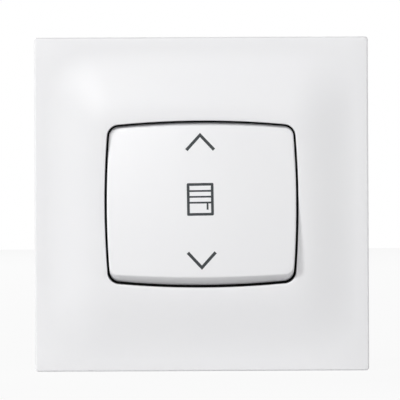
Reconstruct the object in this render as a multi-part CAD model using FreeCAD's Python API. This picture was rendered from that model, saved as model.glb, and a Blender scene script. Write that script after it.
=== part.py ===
import FreeCAD, Part
import math
import os
from FreeCAD import Vector

# Roller shutter switch for a 60 mm flush box: a square cover plate, one wide rocker that stands in
# its "up" position, and behind them the steel support, the mechanism and its screwless terminals.
# Millimetres. X is to the right, Y goes into the wall and Z is up. The origin is the middle of the
# box screws, on the wall: what is in front of the wall has negative Y.
# The rocker, its cradle and the contact blade are drawn half-way, and then turned to their rest.

# Cover plate
plate_side = 82.0
plate_edge_depth = 7.6        # how far the plate's border stands off the wall
plate_wall = 2.0
plate_corner_radius = 0.8
plate_edge_round = 0.5
swell_height = 2.4            # how far the face rises from the border to the opening
swell_margin = 2.6            # flat border left round the swell
swell_corner_radius = 12.0
swell_bow_radius = 1500.0
swell_section_count = 6
hollow_section_count = 4      # the hollow follows the face in plain facets
swell_crease = 0.15           # share of the rise that is a straight slope: a faint crease at the border
rim_land = 0.9
rim_round = 0.2
opening_width = 47.6
opening_height = 41.0
opening_corner_radius = 3.0
bow_radius = 218.0            # the opening's four sides are shallow arcs
collar_wall = 1.4
collar_clearance = 0.4
plate_rib = 1.2
plate_rib_height = 1.8

# Rocker
rocker_gap = 0.5              # to the opening, at the skirt's free edge
rocker_wall = 1.5
rocker_proud = 1.6            # crown in front of the rim, half-way
rocker_skirt_depth = 7.2      # crown to the skirt's free edge
rocker_break_depth = 3.4      # crown to where the sloping ends begin
end_draft_deg = 20.0
side_draft_deg = 2.0
skirt_draft_deg = 3.0
dome_radius = 320.0
face_round = 0.45
face_corner_radius = 1.7
half_throw_deg = 6.0
pivot_height = 4.2            # rocking axis in front of the wall
rocker_rib = 1.2
rocker_rib_span = 22.0

# Rocker cradle
cradle_width = 26.0
cradle_length = 25.0
cradle_deck = 2.0
cradle_deck_front = 8.4       # deck's front face in front of the wall
cradle_corner = 2.0
cheek_thickness = 2.2
cheek_radius = 2.7
trunnion_radius = 1.75
trunnion_length = 2.9
hub_radius = 3.3
hub_depth = 3.6               # hub's free end behind the wall plane
plunger_bore_radius = 1.8
bore_floor = 2.4
clip_reach_x = 9.5
clip_reach_z = 8.4
clip_width = 3.0
clip_thickness = 1.4
clip_hook = 0.6
clip_hook_height = 0.9
clip_slot_room = 0.9
seat_play = 0.05

# Three-position detent
detent_radius = 10.0
detent_offset = 8.6
detent_width = 2.0
detent_half_span = 4.0
detent_notch_radius = 0.5
detent_notch_offset = 0.12
detent_nose_play = 0.08
detent_sheet = 0.3
detent_reach = 8.5
detent_flank = 2.6            # how far the nose's flanks spread, in nose radii
detent_seat_width = 3.6
detent_seat_height = 1.2
detent_seat_reach = 1.3       # of each seat, to both sides of the leaf's end
detent_seat_notch = 0.2       # room past the leaf's end

# Plunger and its spring
plunger_radius = 1.72
plunger_tip_radius = 1.2
plunger_length = 6.2
plunger_play = 0.08
plunger_step_inset = 0.2      # of its shoulder, inside the hub's mouth
spring_wire = 0.36
spring_open_turns = 3
closed_turn_pitch = 1.2       # of the end turns, in wire diameters

# Contact blade and its tips
knife_height = 3.6            # knife edge in front of the contact strips
knife_radius = 0.5
knife_play = 0.05
blade_sheet = 0.8
blade_width = 7.0
blade_length = 24.8
blade_waist = 4.6
blade_waist_half_length = 1.2
blade_throw_deg = 8.5
horn_width = 0.9
horn_height = 1.4
tip_reach = 10.5
tip_radius = 1.7
tip_height = 0.9
tip_dome_radius = 4.0
tip_play = 0.04
fixed_tip_radius = 1.8
tip_bevel = 0.25

# Steel support
frame_side = 70.0
frame_sheet = 1.0
frame_corner = 9.0
frame_flange_height = 1.6
frame_flange_from = 11.0
frame_flange_to = 25.0
box_screw_pitch = 60.0
box_slot_width = 4.2
box_slot_length = 7.0
tab_offset_x = 28.0
tab_offset_z = 21.5
tab_width = 8.0
tab_height = 3.9
tab_window_width = 6.4
tab_window_height = 1.6
hook_width = 5.6
hook_thickness = 1.5
hook_play = 0.2
hook_bite = 0.8

# Front cover of the mechanism
flange_overlap = 0.6          # past the outside of the plate's collar
flange_thickness = 1.0
plug_side = 30.0
plug_depth = 2.2
plug_corner = 3.0
pocket_side = 26.6
pocket_floor = 1.5
floor_window_width = 21.2
floor_window_height = 12.4
bearing_thickness = 2.8
bearing_half_width = 4.0
bearing_rise = 2.8            # above the rocking axis
bearing_play = 0.05
running_gap = 0.4
fit_play = 0.15

# Housing
base_width = 42.0
base_height = 40.0
base_corner = 6.0
base_depth = 21.8
base_flange_side = 44.0
base_flange_corner = 8.0
base_flange_depth = 2.0
deck_front = 8.8
deck_back = 11.0
deck_window_width = 9.2
deck_window_height = 27.4
screw_x = 17.8
screw_inset = 4.7             # from the opening's upper and lower sides
screw_radius = 1.1
screw_clear_radius = 1.3
screw_reach = 7.5
screw_head_radius = 1.9
screw_head_height = 1.1
screw_recess = 0.5
screw_recess_depth = 0.7
screw_recess_reach = 1.14     # of its cross, from the middle
screw_point_radius = 0.2
screw_play = 0.05

# Terminals
terminal_z = 8.0
terminal_width = 5.0
terminal_play = 0.2
strip_sheet = 0.8
strip_bend = 0.5
strip_outer_x = 18.2
strip_foot = 2.4              # what of a strip's foot keeps its full width
strip_end_play = 0.2          # to the wire collars of the rear cover
bridge_width = 5.0
contact_arm_from = 8.4
contact_arm_to = 12.8
contact_arm_end = 3.0
clamp_sheet = 0.3
clamp_bend = 0.9
clamp_anchor_x = 8.5
clamp_shoulder_x = 11.0
clamp_tip_gap = 0.3
clamp_leg_rise = 0.8          # the free leg's end, over the strip's foot
clamp_foot_play = 0.2
centre_pocket_width = 12.8
centre_pocket_height = 31.0

# Rear cover and release buttons
rear_cover_thickness = 2.2
rear_edge_chamfer = 0.5
wire_entry_x = 15.4
wire_entry_radius = 1.9
wire_funnel_radius = 2.7
wire_funnel_depth = 0.8
wire_collar_wall = 0.7
wire_collar_length = 1.6
button_inner_x = 10.0
button_outer_x = 12.3
button_width = 4.2
button_corner = 0.4
button_groove_inset = 0.7
button_groove_depth = 0.5
button_play = 0.15
button_travel = 1.2
button_stub = 0.4             # what still stands out of the cover when it is pressed
button_foot_from = 11.4
button_foot_gap = 0.15
button_shoulder = 0.5
button_shoulder_thickness = 1.0
latch_width = 5.0
latch_thickness = 1.2
latch_length = 7.0
latch_bite = 0.7
latch_height = 1.8

# How the solids are made
cut_past = 1.0                # a cut runs this far past what it cuts
weld = 0.1                    # one part of a solid runs this far into the next
touch = 0.01                  # an edge this near a plane lies on it
along = 0.99                  # cosine, from which an edge counts as parallel to an axis

# Places that follow
rim = plate_edge_depth + swell_height
crown = rim + rocker_proud
skirt_edge = crown - rocker_skirt_depth
slope_break = crown - rocker_break_depth
flange_front = frame_sheet + flange_thickness
collar_end = flange_front + collar_clearance
collar_width = opening_width + 2 * collar_wall
collar_height = opening_height + 2 * collar_wall
deck_underside = cradle_deck_front - cradle_deck
strip_middle = deck_back + strip_sheet / 2
knife_top = deck_back - knife_height
blade_back = knife_top - knife_play
blade_front = blade_back - blade_sheet
rear_cover_back = base_depth + rear_cover_thickness
strip_inner_x = strip_outer_x - strip_sheet
button_end = rear_cover_back + button_travel + button_stub
shoulder_back = base_depth - button_play
shoulder_front = shoulder_back - button_shoulder_thickness
clamp_back = shoulder_front - button_travel - button_play - clamp_sheet / 2
clamp_front = deck_back + strip_sheet + clamp_leg_rise
strip_end = base_depth - wire_collar_length - strip_end_play
screw_z = opening_height / 2 - screw_inset
RIGHT, LEFT = 1, -1
UPPER, LOWER = 1, -1
SIDES = (RIGHT, LEFT)


def block(x, y, z):
    """A box between pairs of coordinates, given in either order."""
    low = Vector(min(x), min(y), min(z))
    return Part.makeBox(abs(x[1] - x[0]), abs(y[1] - y[0]), abs(z[1] - z[0]), low)


def edges_along_y(shape):
    return [e for e in shape.Edges if abs(e.tangentAt(e.FirstParameter).y) > along]


def rounded_block(width, height, corner, y):
    """A slab centred on the Y axis, with its four corners rounded."""
    slab = block((-width / 2, width / 2), y, (-height / 2, height / 2))
    return slab.makeFillet(corner, edges_along_y(slab))


def rod_y(x, z, radius, y):
    return Part.makeCylinder(radius, y[1] - y[0], Vector(x, y[0], z), Vector(0, 1, 0))


def rod_x(y, z, radius, x):
    return Part.makeCylinder(radius, x[1] - x[0], Vector(x[0], y, z), Vector(1, 0, 0))


def barrel_wire(width, height, bow, corner, y):
    """A rectangle whose sides are shallow arcs of radius bow, joined by tangent corner arcs."""
    reach = bow - corner
    top, side = Vector(0, 0, height / 2 - bow), Vector(width / 2 - bow, 0, 0)
    between = side - top
    rise = math.sqrt(reach**2 - (between.Length / 2) ** 2)
    outward = Vector(-between.z, 0, between.x) * (-1 / between.Length)
    centre = (top + side) * 0.5 + outward * rise
    on_top = top + (centre - top) * (bow / reach)
    on_side = side + (centre - side) * (bow / reach)
    halfway = ((centre - top) + (centre - side)).normalize() * corner + centre

    def at(point, x_sign, z_sign):
        return Vector(point.x * x_sign, y, point.z * z_sign)

    crest, flank = Vector(0, 0, height / 2), Vector(width / 2, 0, 0)
    arcs = [
        (at(on_top, -1, 1), at(crest, 1, 1), at(on_top, 1, 1)),
        (at(on_top, 1, 1), at(halfway, 1, 1), at(on_side, 1, 1)),
        (at(on_side, 1, 1), at(flank, 1, 1), at(on_side, 1, -1)),
        (at(on_side, 1, -1), at(halfway, 1, -1), at(on_top, 1, -1)),
        (at(on_top, 1, -1), at(crest, 1, -1), at(on_top, -1, -1)),
        (at(on_top, -1, -1), at(halfway, -1, -1), at(on_side, -1, -1)),
        (at(on_side, -1, -1), at(flank, -1, 1), at(on_side, -1, 1)),
        (at(on_side, -1, 1), at(halfway, -1, 1), at(on_top, -1, 1)),
    ]
    return Part.Wire([Part.Arc(*points).toShape() for points in arcs])


def barrel_block(width, height, corner, y):
    face = Part.Face(barrel_wire(width, height, bow_radius, corner, y[0]))
    return face.extrude(Vector(0, y[1] - y[0], 0))


def bent_strip(route, sheet, bend, place, sweep):
    """Sheet bent along a route of straight legs: one inside radius at every bend. place maps the
    route's plane to space, and sweep is the strip's width as a vector."""
    legs = [(b - a).normalize() for a, b in zip(route, route[1:])]
    normals = [Vector(-leg.y, leg.x, 0) for leg in legs]
    middle_radius = bend + sheet / 2
    sides = []
    for side in (sheet / 2, -sheet / 2):
        edges = []
        cursor = route[0] + normals[0] * side
        for i in range(1, len(route) - 1):
            turn = math.atan2(legs[i - 1].cross(legs[i]).z, legs[i - 1].dot(legs[i]))
            back = middle_radius * math.tan(abs(turn) / 2)
            begin = route[i] - legs[i - 1] * back
            centre = begin + normals[i - 1] * math.copysign(middle_radius, turn)
            radius = middle_radius - math.copysign(side, turn * side)
            start = begin + normals[i - 1] * side
            finish = route[i] + legs[i] * back + normals[i] * side
            halfway = centre + (route[i] - centre).normalize() * radius
            edges.append(Part.makeLine(place(cursor), place(start)))
            edges.append(Part.Arc(place(start), place(halfway), place(finish)).toShape())
            cursor = finish
        end = route[-1] + normals[-1] * side
        edges.append(Part.makeLine(place(cursor), place(end)))
        sides.append((edges, route[0] + normals[0] * side, end))
    (one, one_start, one_end), (other, other_start, other_end) = sides
    caps = [
        Part.makeLine(place(one_end), place(other_end)),
        Part.makeLine(place(other_start), place(one_start)),
    ]
    outline = Part.Wire(Part.__sortEdges__(one + other + caps))
    return Part.Face(outline).extrude(sweep)


def fused(shapes):
    return shapes[0].multiFuse(shapes[1:]).removeSplitter()


def to_rest(shape):
    """Turns a half-way rocker piece to its rest, with its upper end pressed in."""
    return shape.rotated(Vector(0, -pivot_height, 0), Vector(1, 0, 0), -half_throw_deg)


def blade_to_rest(shape):
    return shape.rotated(Vector(0, blade_back, 0), Vector(1, 0, 0), blade_throw_deg)


# The cover plate: a hollow square moulding. Its face swells from a flat border to the opening,
# and a collar runs back from the opening to shield the mechanism.


def swell(lift, sections, ruled):
    """The raised part of the face, as a loft of barrels that grow less steep at both ends."""
    outer_side = plate_side - 2 * swell_margin
    wires = []
    for i in range(sections):
        t = i / (sections - 1)
        rise = swell_height * (swell_crease * t + (1 - swell_crease) * t * t * (3 - 2 * t))
        curvature = (1 - t) / swell_bow_radius + t / bow_radius
        wires.append(
            barrel_wire(
                outer_side + t * (opening_width + 2 * rim_land - outer_side),
                outer_side + t * (opening_height + 2 * rim_land - outer_side),
                1 / curvature,
                swell_corner_radius + t * (opening_corner_radius + rim_land - swell_corner_radius),
                lift - plate_edge_depth - rise,
            )
        )
    return Part.makeLoft(wires, True, ruled)


def plate_hook(side, level):
    """A springy leg behind the plate, whose barb snaps into a window of a support tab."""
    inner = tab_offset_x + frame_sheet / 2 + hook_play
    z = level * tab_offset_z
    window_back = frame_sheet + (tab_height - tab_window_height) / 2
    tip = frame_sheet + hook_play
    half = hook_width / 2
    leg = block(
        (side * inner, side * (inner + hook_thickness)), (-plate_edge_depth, -tip), (z - half, z + half)
    )
    barb_back = window_back + hook_play
    barb_front = window_back + tab_window_height - hook_play
    profile = [
        Vector(side * (inner + hook_thickness / 2), -barb_front, z - half),
        Vector(side * (inner - hook_bite), -barb_front, z - half),
        Vector(side * (inner - hook_bite), -(barb_back + barb_front) / 2, z - half),
        Vector(side * inner, -barb_back, z - half),
        Vector(side * (inner + hook_thickness / 2), -barb_back, z - half),
    ]
    barb = Part.Face(Part.makePolygon(profile + profile[:1])).extrude(Vector(0, 0, hook_width))
    return [leg, barb]


def cover_plate():
    body = rounded_block(plate_side, plate_side, plate_corner_radius, (-plate_edge_depth, 0))
    front = [e for e in body.Edges if e.BoundBox.YMax < -plate_edge_depth + touch]
    body = body.makeFillet(plate_edge_round, front)
    outer = body.fuse(swell(0, swell_section_count, False))
    inner_side = plate_side - 2 * plate_wall
    hollow_front = -plate_edge_depth + plate_wall
    hollow = rounded_block(inner_side, inner_side, plate_corner_radius, (hollow_front, cut_past))
    hollow = hollow.fuse(swell(plate_wall, hollow_section_count, True))
    collar = barrel_block(
        collar_width, collar_height, opening_corner_radius + collar_wall, (-rim - cut_past, -collar_end)
    )
    plate = outer.cut(hollow.cut(collar))
    mouth = barrel_block(
        opening_width, opening_height, opening_corner_radius, (-rim - cut_past, cut_past)
    )
    plate = plate.cut(mouth)
    rib_back = hollow_front + plate_rib_height
    reach = plate_side / 2 - plate_wall / 2
    ribs = [
        block((-reach, reach), (-rim, rib_back), (-plate_rib / 2, plate_rib / 2)),
        block((-plate_rib / 2, plate_rib / 2), (-rim, rib_back), (-reach, reach)),
    ]
    ribs = [rib.common(outer).cut(mouth) for rib in ribs]
    hooks = [piece for s in SIDES for level in SIDES for piece in plate_hook(s, level)]
    plate = fused([plate] + ribs + hooks)
    lip = [
        e
        for e in plate.Edges
        if e.BoundBox.YMax < -rim + touch and e.BoundBox.YMin > -rim - touch
        and abs(e.CenterOfMass.x) < opening_width / 2 + touch
        and abs(e.CenterOfMass.z) < opening_height / 2 + touch
    ]
    return plate.makeFillet(rim_round, lip)


# The rocker: a shallow hollow moulding with a domed face, long sloping ends and four clips that
# snap into the cradle.


def rocker_form(inset, shrink):
    """The rocker's outside, or its inside when inset by a wall. shrink takes the face back."""
    foot_width = opening_width - 2 * rocker_gap - 2 * inset
    foot_height = opening_height - 2 * rocker_gap - 2 * inset
    skirt = (slope_break - skirt_edge) * math.tan(math.radians(skirt_draft_deg))
    rise = crown + cut_past - slope_break
    end_slope = rise * math.tan(math.radians(end_draft_deg))
    side_slope = rise * math.tan(math.radians(side_draft_deg))
    foot_corner = opening_corner_radius - rocker_gap
    foot = barrel_wire(foot_width, foot_height, bow_radius, foot_corner, -skirt_edge)
    waist = barrel_wire(
        foot_width - skirt / 2, foot_height - 2 * skirt, bow_radius, foot_corner, -slope_break
    )
    face = barrel_wire(
        foot_width - skirt / 2 - 2 * side_slope,
        foot_height - 2 * skirt - 2 * end_slope,
        bow_radius,
        face_corner_radius,
        -crown - cut_past,
    )
    lower = Part.makeLoft([foot, waist], True, True)
    upper = Part.makeLoft([waist, face], True, True)
    dome = Part.makeSphere(dome_radius - shrink, Vector(0, dome_radius - crown, 0))
    return lower.fuse(upper.common(dome))


def rocker_clip(side, level):
    """One leg of the rocker, with a hook that catches behind the cradle's deck."""
    x = (side * clip_reach_x - clip_width / 2, side * clip_reach_x + clip_width / 2)
    outer_z = level * clip_reach_z
    hook_front = deck_underside - seat_play
    leg = block(
        x, (-crown, -(hook_front - clip_hook_height)), (outer_z, outer_z - level * clip_thickness)
    )
    hook = block(
        x,
        (-hook_front, -(hook_front - clip_hook_height)),
        (outer_z - level * clip_thickness / 2, outer_z + level * clip_hook),
    )
    return [leg, hook]


def rocker():
    outer = rocker_form(0, 0)
    half_up = (slope_break + crown) / 2
    rim_edges = [
        e for e in outer.Edges if e.BoundBox.YMax < -half_up and e.Length > face_corner_radius / 2
    ]
    shell = outer.makeFillet(face_round, rim_edges)
    inner = rocker_form(rocker_wall, rocker_wall)
    shell = shell.cut(inner)
    half = rocker_rib_span / 2
    seat = -cradle_deck_front
    ring = block((-half, half), (-crown, seat), (-half, half)).cut(
        block(
            (-half + rocker_rib, half - rocker_rib),
            (-crown, seat),
            (-half + rocker_rib, half - rocker_rib),
        )
    )
    stays = [
        block((-opening_width / 2, -half), (-crown, seat), (z - rocker_rib / 2, z + rocker_rib / 2))
        for z in (-half + rocker_rib / 2, half - rocker_rib / 2)
    ]
    stays += [
        block((half, opening_width / 2), (-crown, seat), (z - rocker_rib / 2, z + rocker_rib / 2))
        for z in (-half + rocker_rib / 2, half - rocker_rib / 2)
    ]
    clips = [piece for s in SIDES for level in SIDES for piece in rocker_clip(s, level)]
    inside = [piece.common(outer) for piece in [ring] + stays]
    skin = block((-opening_width, opening_width), (-crown - cut_past, -crown + rocker_wall / 2),
                 (-opening_height, opening_height))
    legs = [piece.cut(skin) for piece in clips]
    return to_rest(fused([shell] + inside + legs))


# The cradle under the rocker: a deck on two trunnions. Its hub carries the plunger, and a toothed
# sector beside the hub gives the three positions.


def detent_sector():
    x = (-detent_offset - detent_width / 2, -detent_offset + detent_width / 2)
    fan = rod_x(-pivot_height, 0, detent_radius, x)
    window = block(x, (-deck_underside - weld, detent_radius), (-detent_half_span, detent_half_span))
    sector = fan.common(window)
    for step in (-1, 0, 1):
        angle = math.radians(step * half_throw_deg)
        reach = detent_radius + detent_notch_offset
        y, z = -pivot_height + reach * math.cos(angle), reach * math.sin(angle)
        sector = sector.cut(rod_x(y, z, detent_notch_radius, x))
    return sector


def rocker_cradle():
    deck = rounded_block(
        cradle_width, cradle_length, cradle_corner, (-cradle_deck_front, -deck_underside)
    )
    half = cradle_width / 2
    hub = rod_y(0, 0, hub_radius, (-deck_underside - weld, hub_depth))
    solids = [deck, hub, detent_sector()]
    for side in SIDES:
        x = sorted((side * half, side * (half - cheek_thickness)))
        solids.append(rod_x(-pivot_height, 0, cheek_radius, x))
        solids.append(block(x, (-deck_underside - weld, -pivot_height), (-cheek_radius, cheek_radius)))
        pin = sorted((side * (half - cheek_thickness / 2), side * (half + trunnion_length)))
        solids.append(rod_x(-pivot_height, 0, trunnion_radius, pin))
    web = hub_radius / 4
    solids.append(block((-half + cheek_thickness / 2, half - cheek_thickness / 2),
                        (-deck_underside - weld, -pivot_height), (-web, web)))
    cradle = fused(solids)
    bore = (-cradle_deck_front + bore_floor, hub_depth + cut_past)
    cradle = cradle.cut(rod_y(0, 0, plunger_bore_radius, bore))
    for side in SIDES:
        for level in SIDES:
            x = side * clip_reach_x
            width = clip_width / 2 + 2 * seat_play
            outer = clip_reach_z + 2 * seat_play
            inner = clip_reach_z - clip_thickness - clip_slot_room
            cradle = cradle.cut(
                block(
                    (x - width, x + width),
                    (-cradle_deck_front - cut_past, -deck_underside + cut_past),
                    (level * inner, level * outer),
                )
            )
    return to_rest(cradle)


# Plunger, its spring and the detent spring


plunger_tip = blade_front - plunger_play
plunger_root = plunger_tip - plunger_length


def contact_plunger():
    """A round pin with a ball nose, sprung against the contact blade."""
    neck = plunger_tip - plunger_tip_radius
    shank_end = hub_depth - plunger_step_inset
    shank = rod_y(0, 0, plunger_radius, (plunger_root, shank_end))
    nose = rod_y(0, 0, plunger_tip_radius, (shank_end, neck))
    ball = Part.makeSphere(plunger_tip_radius, Vector(0, neck, 0))
    return to_rest(fused([shank, nose, ball]))


def plunger_spring():
    """Compression spring in the hub's bore. Each half turn is a tilted half ring, so the rings join
    smoothly; the first and the last turn are closed."""
    level = -cradle_deck_front + bore_floor + spring_wire / 2
    top = plunger_root - spring_wire / 2
    coil_radius = plunger_bore_radius - spring_wire / 2 - 2 * seat_play
    closed_rise = spring_wire * closed_turn_pitch / 2
    open_halves = 2 * spring_open_turns
    open_rise = (top - level - 4 * closed_rise) / open_halves
    rises = [closed_rise] * 2 + [open_rise] * open_halves + [closed_rise] * 2
    turns = []
    for i, rise in enumerate(rises):
        side = 1 if i % 2 == 0 else -1
        start = Vector(side * coil_radius, level, 0)
        middle = Vector(0, level + rise / 2, 0)
        rim = Part.makeCircle(spring_wire / 2, start, Vector(0, 0, 1))
        axis = Vector(0, 0, 1).cross(middle - start)
        turns.append(Part.Face(Part.Wire(rim)).revolve(middle, axis, -180 * side))
        level += rise
    return to_rest(fused(turns))


def detent_spring():
    """A leaf of spring steel on two seats, its nose in the sector's notch."""
    nose_radius = detent_notch_radius - detent_nose_play
    nose = -pivot_height + detent_radius + detent_notch_offset
    low = deck_front - detent_seat_height
    crest = nose - nose_radius + detent_sheet / 2
    flank = nose + 2 * nose_radius
    route = [
        Vector(-detent_reach, low, 0),
        Vector(-detent_flank * nose_radius, flank, 0),
        Vector(0, crest - nose_radius / 2, 0),
        Vector(detent_flank * nose_radius, flank, 0),
        Vector(detent_reach, low, 0),
    ]
    x = -detent_offset - detent_width / 2
    return bent_strip(
        route, detent_sheet, nose_radius - detent_sheet, lambda p: Vector(x, p.y, p.x),
        Vector(detent_width, 0, 0),
    )


# The contacts: a see-saw blade rocks on the knife edge of the common strip, and closes one of two
# fixed contacts.


def contact_blade():
    half = blade_length / 2 - blade_width / 2
    blade = block((-blade_width / 2, blade_width / 2), (blade_front, blade_back), (-half, half))
    ends = [rod_y(0, z, blade_width / 2, (blade_front, blade_back)) for z in (-half, half)]
    blade = fused([blade] + ends)
    for side in SIDES:
        waist = (side * blade_waist / 2, side * blade_width)
        notch = (-blade_waist_half_length, blade_waist_half_length)
        blade = blade.cut(block(waist, (blade_front - cut_past, blade_back + cut_past), notch))
    return blade_to_rest(blade)


def moving_tips():
    """Two domed silver rivets in the blade's back."""
    tips = []
    for level in SIDES:
        z = level * tip_reach
        button = rod_y(0, z, tip_radius, (blade_back, blade_back + tip_height))
        dome_centre = blade_back + tip_height - tip_dome_radius
        tips.append(button.common(Part.makeSphere(tip_dome_radius, Vector(0, dome_centre, z))))
    return blade_to_rest(Part.makeCompound(tips))


def fixed_tip(level):
    """A silver rivet on a fixed strip, where the tilted blade's dome comes down."""
    throw = math.radians(blade_throw_deg)
    centre = tip_height - tip_dome_radius
    lowest = blade_back + centre * math.cos(throw) + tip_reach * math.sin(throw) + tip_dome_radius
    reach = tip_reach * math.cos(throw) - centre * math.sin(throw)
    tip = rod_y(0, level * reach, fixed_tip_radius, (lowest + tip_play, deck_back))
    crown_edge = [e for e in tip.Edges if e.BoundBox.YMax < lowest + tip_play + touch]
    return tip.makeChamfer(tip_bevel, crown_edge)


def strip_in_plan(route, z):
    return bent_strip(
        [Vector(x, y, 0) for x, y in route], strip_sheet, strip_bend,
        lambda p: Vector(p.x, p.y, z[0]), Vector(0, 0, z[1] - z[0]),
    )


def common_strip():
    """The live pole: two terminal walls on one foot, a bridge to the middle and the knife edge."""
    outer = -strip_outer_x + strip_sheet / 2
    reach = terminal_z + terminal_width / 2
    bridge_end = blade_width / 2
    strip = strip_in_plan(
        [(outer, strip_end), (outer, strip_middle), (bridge_end, strip_middle)],
        (-reach, reach),
    )
    inner = terminal_z - terminal_width / 2
    gap = block((-strip_outer_x - cut_past, -strip_outer_x + strip_foot),
                (deck_back + strip_foot, strip_end + cut_past), (-inner, inner))
    strip = strip.cut(gap)
    through = (deck_back - cut_past, deck_back + strip_sheet + cut_past)
    for level in SIDES:
        strip = strip.cut(
            block((-strip_outer_x + strip_foot, bridge_end + cut_past), through,
                  (level * bridge_width / 2, level * (reach + cut_past)))
        )
    half = blade_width / 2
    post = block((-half, half), (knife_top + knife_radius, deck_back), (-knife_radius, knife_radius))
    edge = rod_x(knife_top + knife_radius, 0, knife_radius, (-half, half))
    horns = [
        block((side * half, side * (half - horn_width)), (knife_top - horn_height, deck_back),
              (-knife_radius, knife_radius))
        for side in SIDES
    ]
    return fused([strip, post, edge] + horns)


def contact_strip(level):
    """A switched pole on the right: its terminal wall, and an arm that ends under the blade."""
    outer = strip_outer_x - strip_sheet / 2
    near, far = terminal_z - terminal_width / 2, contact_arm_to
    z = sorted((level * near, level * far))
    strip = strip_in_plan(
        [(outer, strip_end), (outer, strip_middle), (-contact_arm_end, strip_middle)], z
    )
    wall_end = terminal_z + terminal_width / 2
    strip = strip.cut(
        block((strip_outer_x + cut_past, strip_inner_x - strip_sheet),
              (deck_back + strip_sheet, base_depth), (level * wall_end, level * (far + cut_past)))
    )
    through = (deck_back - cut_past, deck_back + strip_sheet + cut_past)
    return strip.cut(
        block((-contact_arm_end - cut_past, strip_outer_x - strip_foot), through,
              (level * contact_arm_from, level * (near - cut_past)))
    )


def clamp_spring(side, level):
    """Screwless clamp: an anchored leg, a shoulder and a free leg that bites against the strip."""
    tip_x = strip_inner_x - clamp_tip_gap
    z = level * terminal_z - terminal_width / 2
    route = [
        Vector(clamp_anchor_x, deck_back + strip_sheet + clamp_foot_play, 0),
        Vector(clamp_anchor_x, clamp_back, 0),
        Vector(clamp_shoulder_x, clamp_back, 0),
        Vector(tip_x, clamp_front, 0),
    ]
    return bent_strip(
        [Vector(p.x * side, p.y, 0) for p in route], clamp_sheet, clamp_bend,
        lambda p: Vector(p.x, p.y, z), Vector(0, 0, terminal_width),
    )


def release_button(side, level):
    """An orange key in the rear cover, whose foot pushes the clamp's free leg aside."""
    z = level * terminal_z
    half = button_width / 2
    leg_slope = (clamp_front - clamp_back) / (strip_inner_x - clamp_tip_gap - clamp_shoulder_x)
    leg_surface = clamp_back + leg_slope * (button_foot_from - clamp_shoulder_x) + clamp_sheet
    foot_end = leg_surface + button_foot_gap
    stem = block((button_inner_x, button_outer_x), (shoulder_front, button_end),
                 (z - half, z + half))
    stem = stem.makeFillet(button_corner, edges_along_y(stem))
    shoulder = block((button_inner_x - button_shoulder, button_outer_x + button_shoulder / 2),
                     (shoulder_front, shoulder_back), (z - half, z + half))
    foot = block((button_foot_from, button_outer_x), (foot_end, shoulder_front + weld),
                 (z - half / 2, z + half / 2))
    groove = block(
        (button_inner_x + button_groove_inset, button_outer_x - button_groove_inset),
        (button_end - button_groove_depth, button_end + cut_past),
        (z - half, z + half),
    )
    button = fused([stem, shoulder, foot]).cut(groove)
    return button if side == RIGHT else button.mirror(Vector(), Vector(1, 0, 0))


# The steel support: one pressing with four box screw slots, flanges and four window tabs.


def slot(x, z, along_x):
    """A box screw slot, long towards the middle of the support."""
    straight = box_slot_length - box_slot_width
    y = (-frame_sheet - cut_past, cut_past)
    ends = []
    for sign in SIDES:
        shift = sign * straight / 2
        at = (x + shift, z) if along_x else (x, z + shift)
        ends.append(rod_y(*at, box_slot_width / 2, y))
    half, run = box_slot_width / 2, straight / 2
    if along_x:
        ends.append(block((x - run, x + run), y, (z - half, z + half)))
    else:
        ends.append(block((x - half, x + half), y, (z - run, z + run)))
    return fused(ends)


def support_frame():
    sheet = rounded_block(frame_side, frame_side, frame_corner, (-frame_sheet, 0))
    window = plug_side + 2 * fit_play
    through = (-frame_sheet - cut_past, cut_past)
    sheet = sheet.cut(rounded_block(window, window, plug_corner, through))
    additions = []
    edge = frame_side / 2
    flange_y = (-frame_sheet - frame_flange_height, -frame_sheet / 2)
    for side in SIDES:
        sheet = sheet.cut(slot(side * box_screw_pitch / 2, 0, True))
        sheet = sheet.cut(slot(0, side * box_screw_pitch / 2, False))
        for level in SIDES:
            run = (level * frame_flange_from, level * frame_flange_to)
            band = (side * edge, side * (edge - frame_sheet))
            additions.append(block(band, flange_y, run))
            additions.append(block(run, flange_y, band))
            sheet = sheet.cut(rod_y(side * screw_x, level * screw_z, screw_clear_radius, through))
            near = tab_offset_x - frame_sheet / 2
            z = level * tab_offset_z
            width = (z - tab_width / 2, z + tab_width / 2)
            lance = (side * (near + frame_sheet), side * (near + frame_sheet + tab_height))
            sheet = sheet.cut(block(lance, through, width))
            tab = block((side * near, side * (near + frame_sheet)),
                        (-frame_sheet - tab_height, -frame_sheet / 2), width)
            back = frame_sheet + (tab_height - tab_window_height) / 2
            half = tab_window_width / 2
            tab = tab.cut(
                block((side * (near - cut_past), side * (near + frame_sheet + cut_past)),
                      (-back, -back - tab_window_height), (z - half, z + half))
            )
            additions.append(tab)
    return fused([sheet] + additions)


# The front cover of the mechanism: a dark flange behind the rocker, with the trunnions' bearings.


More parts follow.
